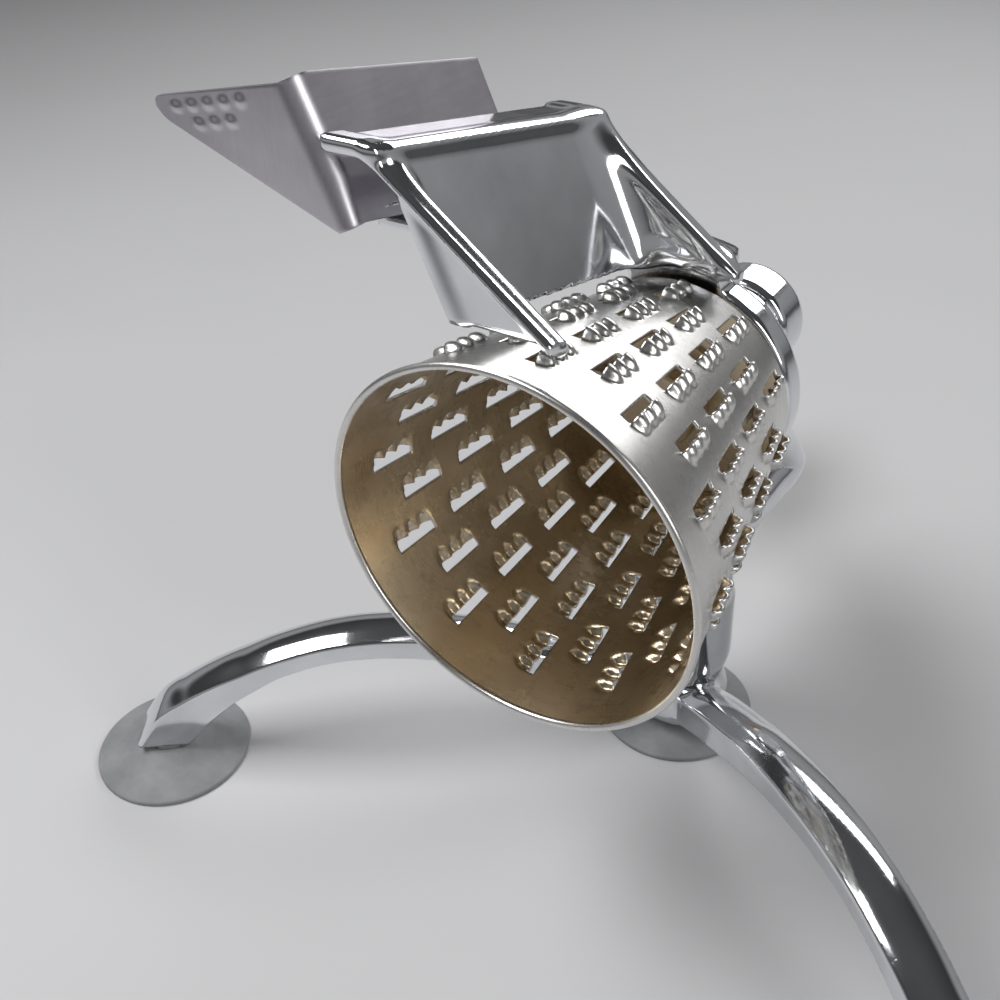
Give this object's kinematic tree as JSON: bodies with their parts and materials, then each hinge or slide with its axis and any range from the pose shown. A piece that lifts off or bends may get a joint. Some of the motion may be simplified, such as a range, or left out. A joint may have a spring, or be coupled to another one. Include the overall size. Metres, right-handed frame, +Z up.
{
  "type": "rotary cabbage shredder",
  "caption": "Hand-cranked rotary shredder: toothed steel cone drum under an open hopper, on a cast tripod with suction cups.",
  "frame": {"origin": "on the table, at the centre of the machine's footprint box", "axes": "+Z up; +Y along the drum axis, from the drum's open mouth to the crank; +X to the right as the mouth is faced"},
  "size_m": [0.3366, 0.282, 0.2433],
  "materials": {
    "cast_metal": "bright plated casting, softly polished",
    "drum_steel": "fine brushed sheet",
    "sheet_steel": "satin brushed sheet",
    "cup_rubber": "matt grey rubber",
    "bushing_brass": "plain turned",
    "plated_fastener": "zinc plated",
    "shaft_steel": "turned steel",
    "knob_wood": "varnished beech",
    "ring_rubber": "black rubber"
  },
  "bodies": {
    "frame": {"tripod_base": "cast_metal", "head_casting": "cast_metal", "hopper_casting": "cast_metal", "foot_cup_left": "cup_rubber", "foot_cup_right": "cup_rubber", "foot_cup_rear": "cup_rubber", "foot_studs": "plated_fastener", "foot_washers": "plated_fastener", "column_washer": "plated_fastener", "column_bolt": "plated_fastener", "front_bushing": "bushing_brass", "rear_bushing": "bushing_brass"},
    "crank": {"drive_shaft": "shaft_steel", "nose_ring": "ring_rubber", "drive_carrier": "shaft_steel", "drive_pins": "shaft_steel", "carrier_washer": "bushing_brass", "crank_arm": "cast_metal", "shaft_nut": "plated_fastener", "boss_cap": "cast_metal", "knob_bolt": "plated_fastener", "knob_nut": "plated_fastener", "knob_washer": "plated_fastener"},
    "drum": {"drum_shell": "drum_steel", "drum_back_plate": "drum_steel", "drum_hub": "drum_steel", "drum_rivets": "drum_steel"},
    "knob": {"crank_knob": "knob_wood"},
    "pusher": {"pusher_plate": "sheet_steel"}
  },
  "joints": [
    {"name": "crank_spin", "type": "hinge", "parent": "frame", "child": "crank", "pos_m": [0, 0.01576, 0.1385], "axis": [0, 1, 0], "continuous": true},
    {"name": "drum_pull", "type": "slide", "parent": "crank", "child": "drum", "axis": [0, -1, 0], "range_m": [0, 0.12]},
    {"name": "knob_spin", "type": "hinge", "parent": "crank", "child": "knob", "pos_m": [-0.046, 0.09576, 0.05883], "axis": [0, 1, 0], "continuous": true},
    {"name": "pusher_lift", "type": "slide", "parent": "frame", "child": "pusher", "axis": [-0.3859, 0, 0.9225], "range_m": [0, 0.08]}
  ]
}
